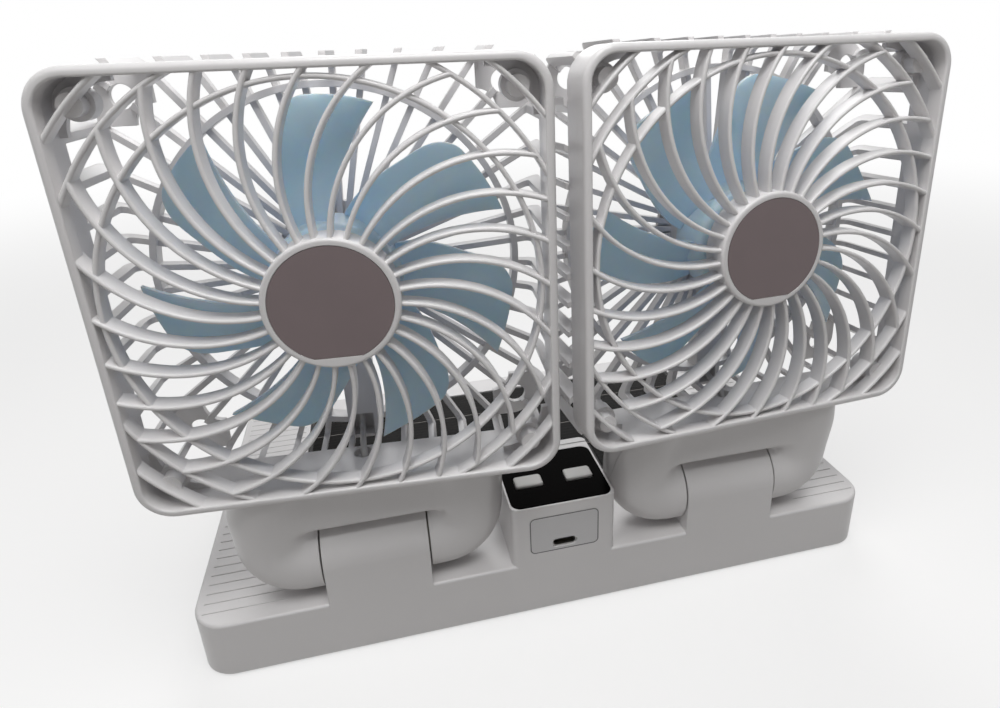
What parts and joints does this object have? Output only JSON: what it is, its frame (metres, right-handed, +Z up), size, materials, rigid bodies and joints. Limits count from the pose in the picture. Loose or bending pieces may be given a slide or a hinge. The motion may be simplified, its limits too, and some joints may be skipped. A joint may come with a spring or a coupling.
{
  "type": "dual-head desk fan",
  "caption": "Desk fan with two square tilting heads side by side on a flat base that carries a solar panel, push buttons and a charging inlet.",
  "frame": {"origin": "on the table, under the middle of the whole outline", "axes": "+Z up, +X to the fan's right as seen from the front, +Y to the back"},
  "size_m": [0.26, 0.1572, 0.1981],
  "materials": {
    "white_plastic": "satin moulded ABS",
    "blue_plastic": "satin moulded polypropylene",
    "badge_grey": "satin printed film",
    "label_grey": "satin film",
    "black_gloss": "high gloss",
    "button_grey": "satin",
    "solar_cell": "gloss laminate over silicon",
    "panel_backing": "matte board",
    "busbar_foil": "thin foil",
    "steel": "zinc plated",
    "motor_steel": "plated can",
    "bronze": "sintered",
    "armature": "wound core",
    "board": "solder mask",
    "switch_plastic": "moulded",
    "battery_wrap": "heat-shrink film",
    "foot_rubber": "moulded",
    "wire_sleeve": "extruded sleeve",
    "washer_plastic": "acetal"
  },
  "bodies": {
    "base": {"base_upper_shell": "white_plastic", "base_lower_cover": "white_plastic", "base_screws": "steel", "base_feet": "foot_rubber", "solar_backing": "panel_backing", "solar_cells": "solar_cell", "solar_busbars": "busbar_foil", "control_panel": "black_gloss", "tact_switches": "switch_plastic", "control_board": "board", "charge_board": "board", "usb_c_shell": "steel", "usb_c_tongue": "switch_plastic", "port_label": "label_grey", "battery_pack": "battery_wrap"},
    "left_button": {"button_left": "button_grey"},
    "right_button": {"button_right": "button_grey"},
    "left_head": {"left_front_grille": "white_plastic", "left_hub_badge": "badge_grey", "left_rear_housing": "white_plastic", "left_duct_cover": "white_plastic", "left_head_screws": "steel", "left_motor_lead": "wire_sleeve", "left_motor_can": "motor_steel", "left_motor_bearings": "bronze", "left_motor_screws": "steel", "left_yoke_front": "white_plastic", "left_yoke_rear": "white_plastic", "left_yoke_screws": "steel", "left_hinge_tube": "steel", "left_friction_washers": "washer_plastic"},
    "left_rotor": {"left_impeller": "blue_plastic", "left_motor_shaft": "steel", "left_motor_armature": "armature"},
    "right_head": {"right_front_grille": "white_plastic", "right_hub_badge": "badge_grey", "right_rear_housing": "white_plastic", "right_duct_cover": "white_plastic", "right_head_screws": "steel", "right_motor_lead": "wire_sleeve", "right_motor_can": "motor_steel", "right_motor_bearings": "bronze", "right_motor_screws": "steel", "right_yoke_front": "white_plastic", "right_yoke_rear": "white_plastic", "right_yoke_screws": "steel", "right_hinge_tube": "steel", "right_friction_washers": "washer_plastic"},
    "right_rotor": {"right_impeller": "blue_plastic", "right_motor_shaft": "steel", "right_motor_armature": "armature"}
  },
  "joints": [
    {"name": "left_head_tilt", "type": "hinge", "parent": "base", "child": "left_head", "pos_m": [-0.06555, -0.05194, 0.037], "axis": [-1, 0, 0], "range_deg": [-25, 70]},
    {"name": "left_rotor_spin", "type": "hinge", "parent": "left_head", "child": "left_rotor", "pos_m": [-0.06575, -0.054, 0.13382], "axis": [-0.067, -0.9977, 0.0096], "continuous": true},
    {"name": "left_button_press", "type": "slide", "parent": "base", "child": "left_button", "axis": [0, 0, -1], "range_m": [0, 0.0006], "stiffness_N_per_m": 400, "springref_m": -0.0015},
    {"name": "right_head_tilt", "type": "hinge", "parent": "base", "child": "right_head", "pos_m": [0.06555, -0.05194, 0.037], "axis": [-1, 0, 0], "range_deg": [-27, 68]},
    {"name": "right_rotor_spin", "type": "hinge", "parent": "right_head", "child": "right_rotor", "pos_m": [0.06575, -0.05093, 0.13384], "axis": [0.067, -0.9969, 0.0413], "continuous": true},
    {"name": "right_button_press", "type": "slide", "parent": "base", "child": "right_button", "axis": [0, 0, -1], "range_m": [0, 0.0006], "stiffness_N_per_m": 400, "springref_m": -0.0015}
  ]
}
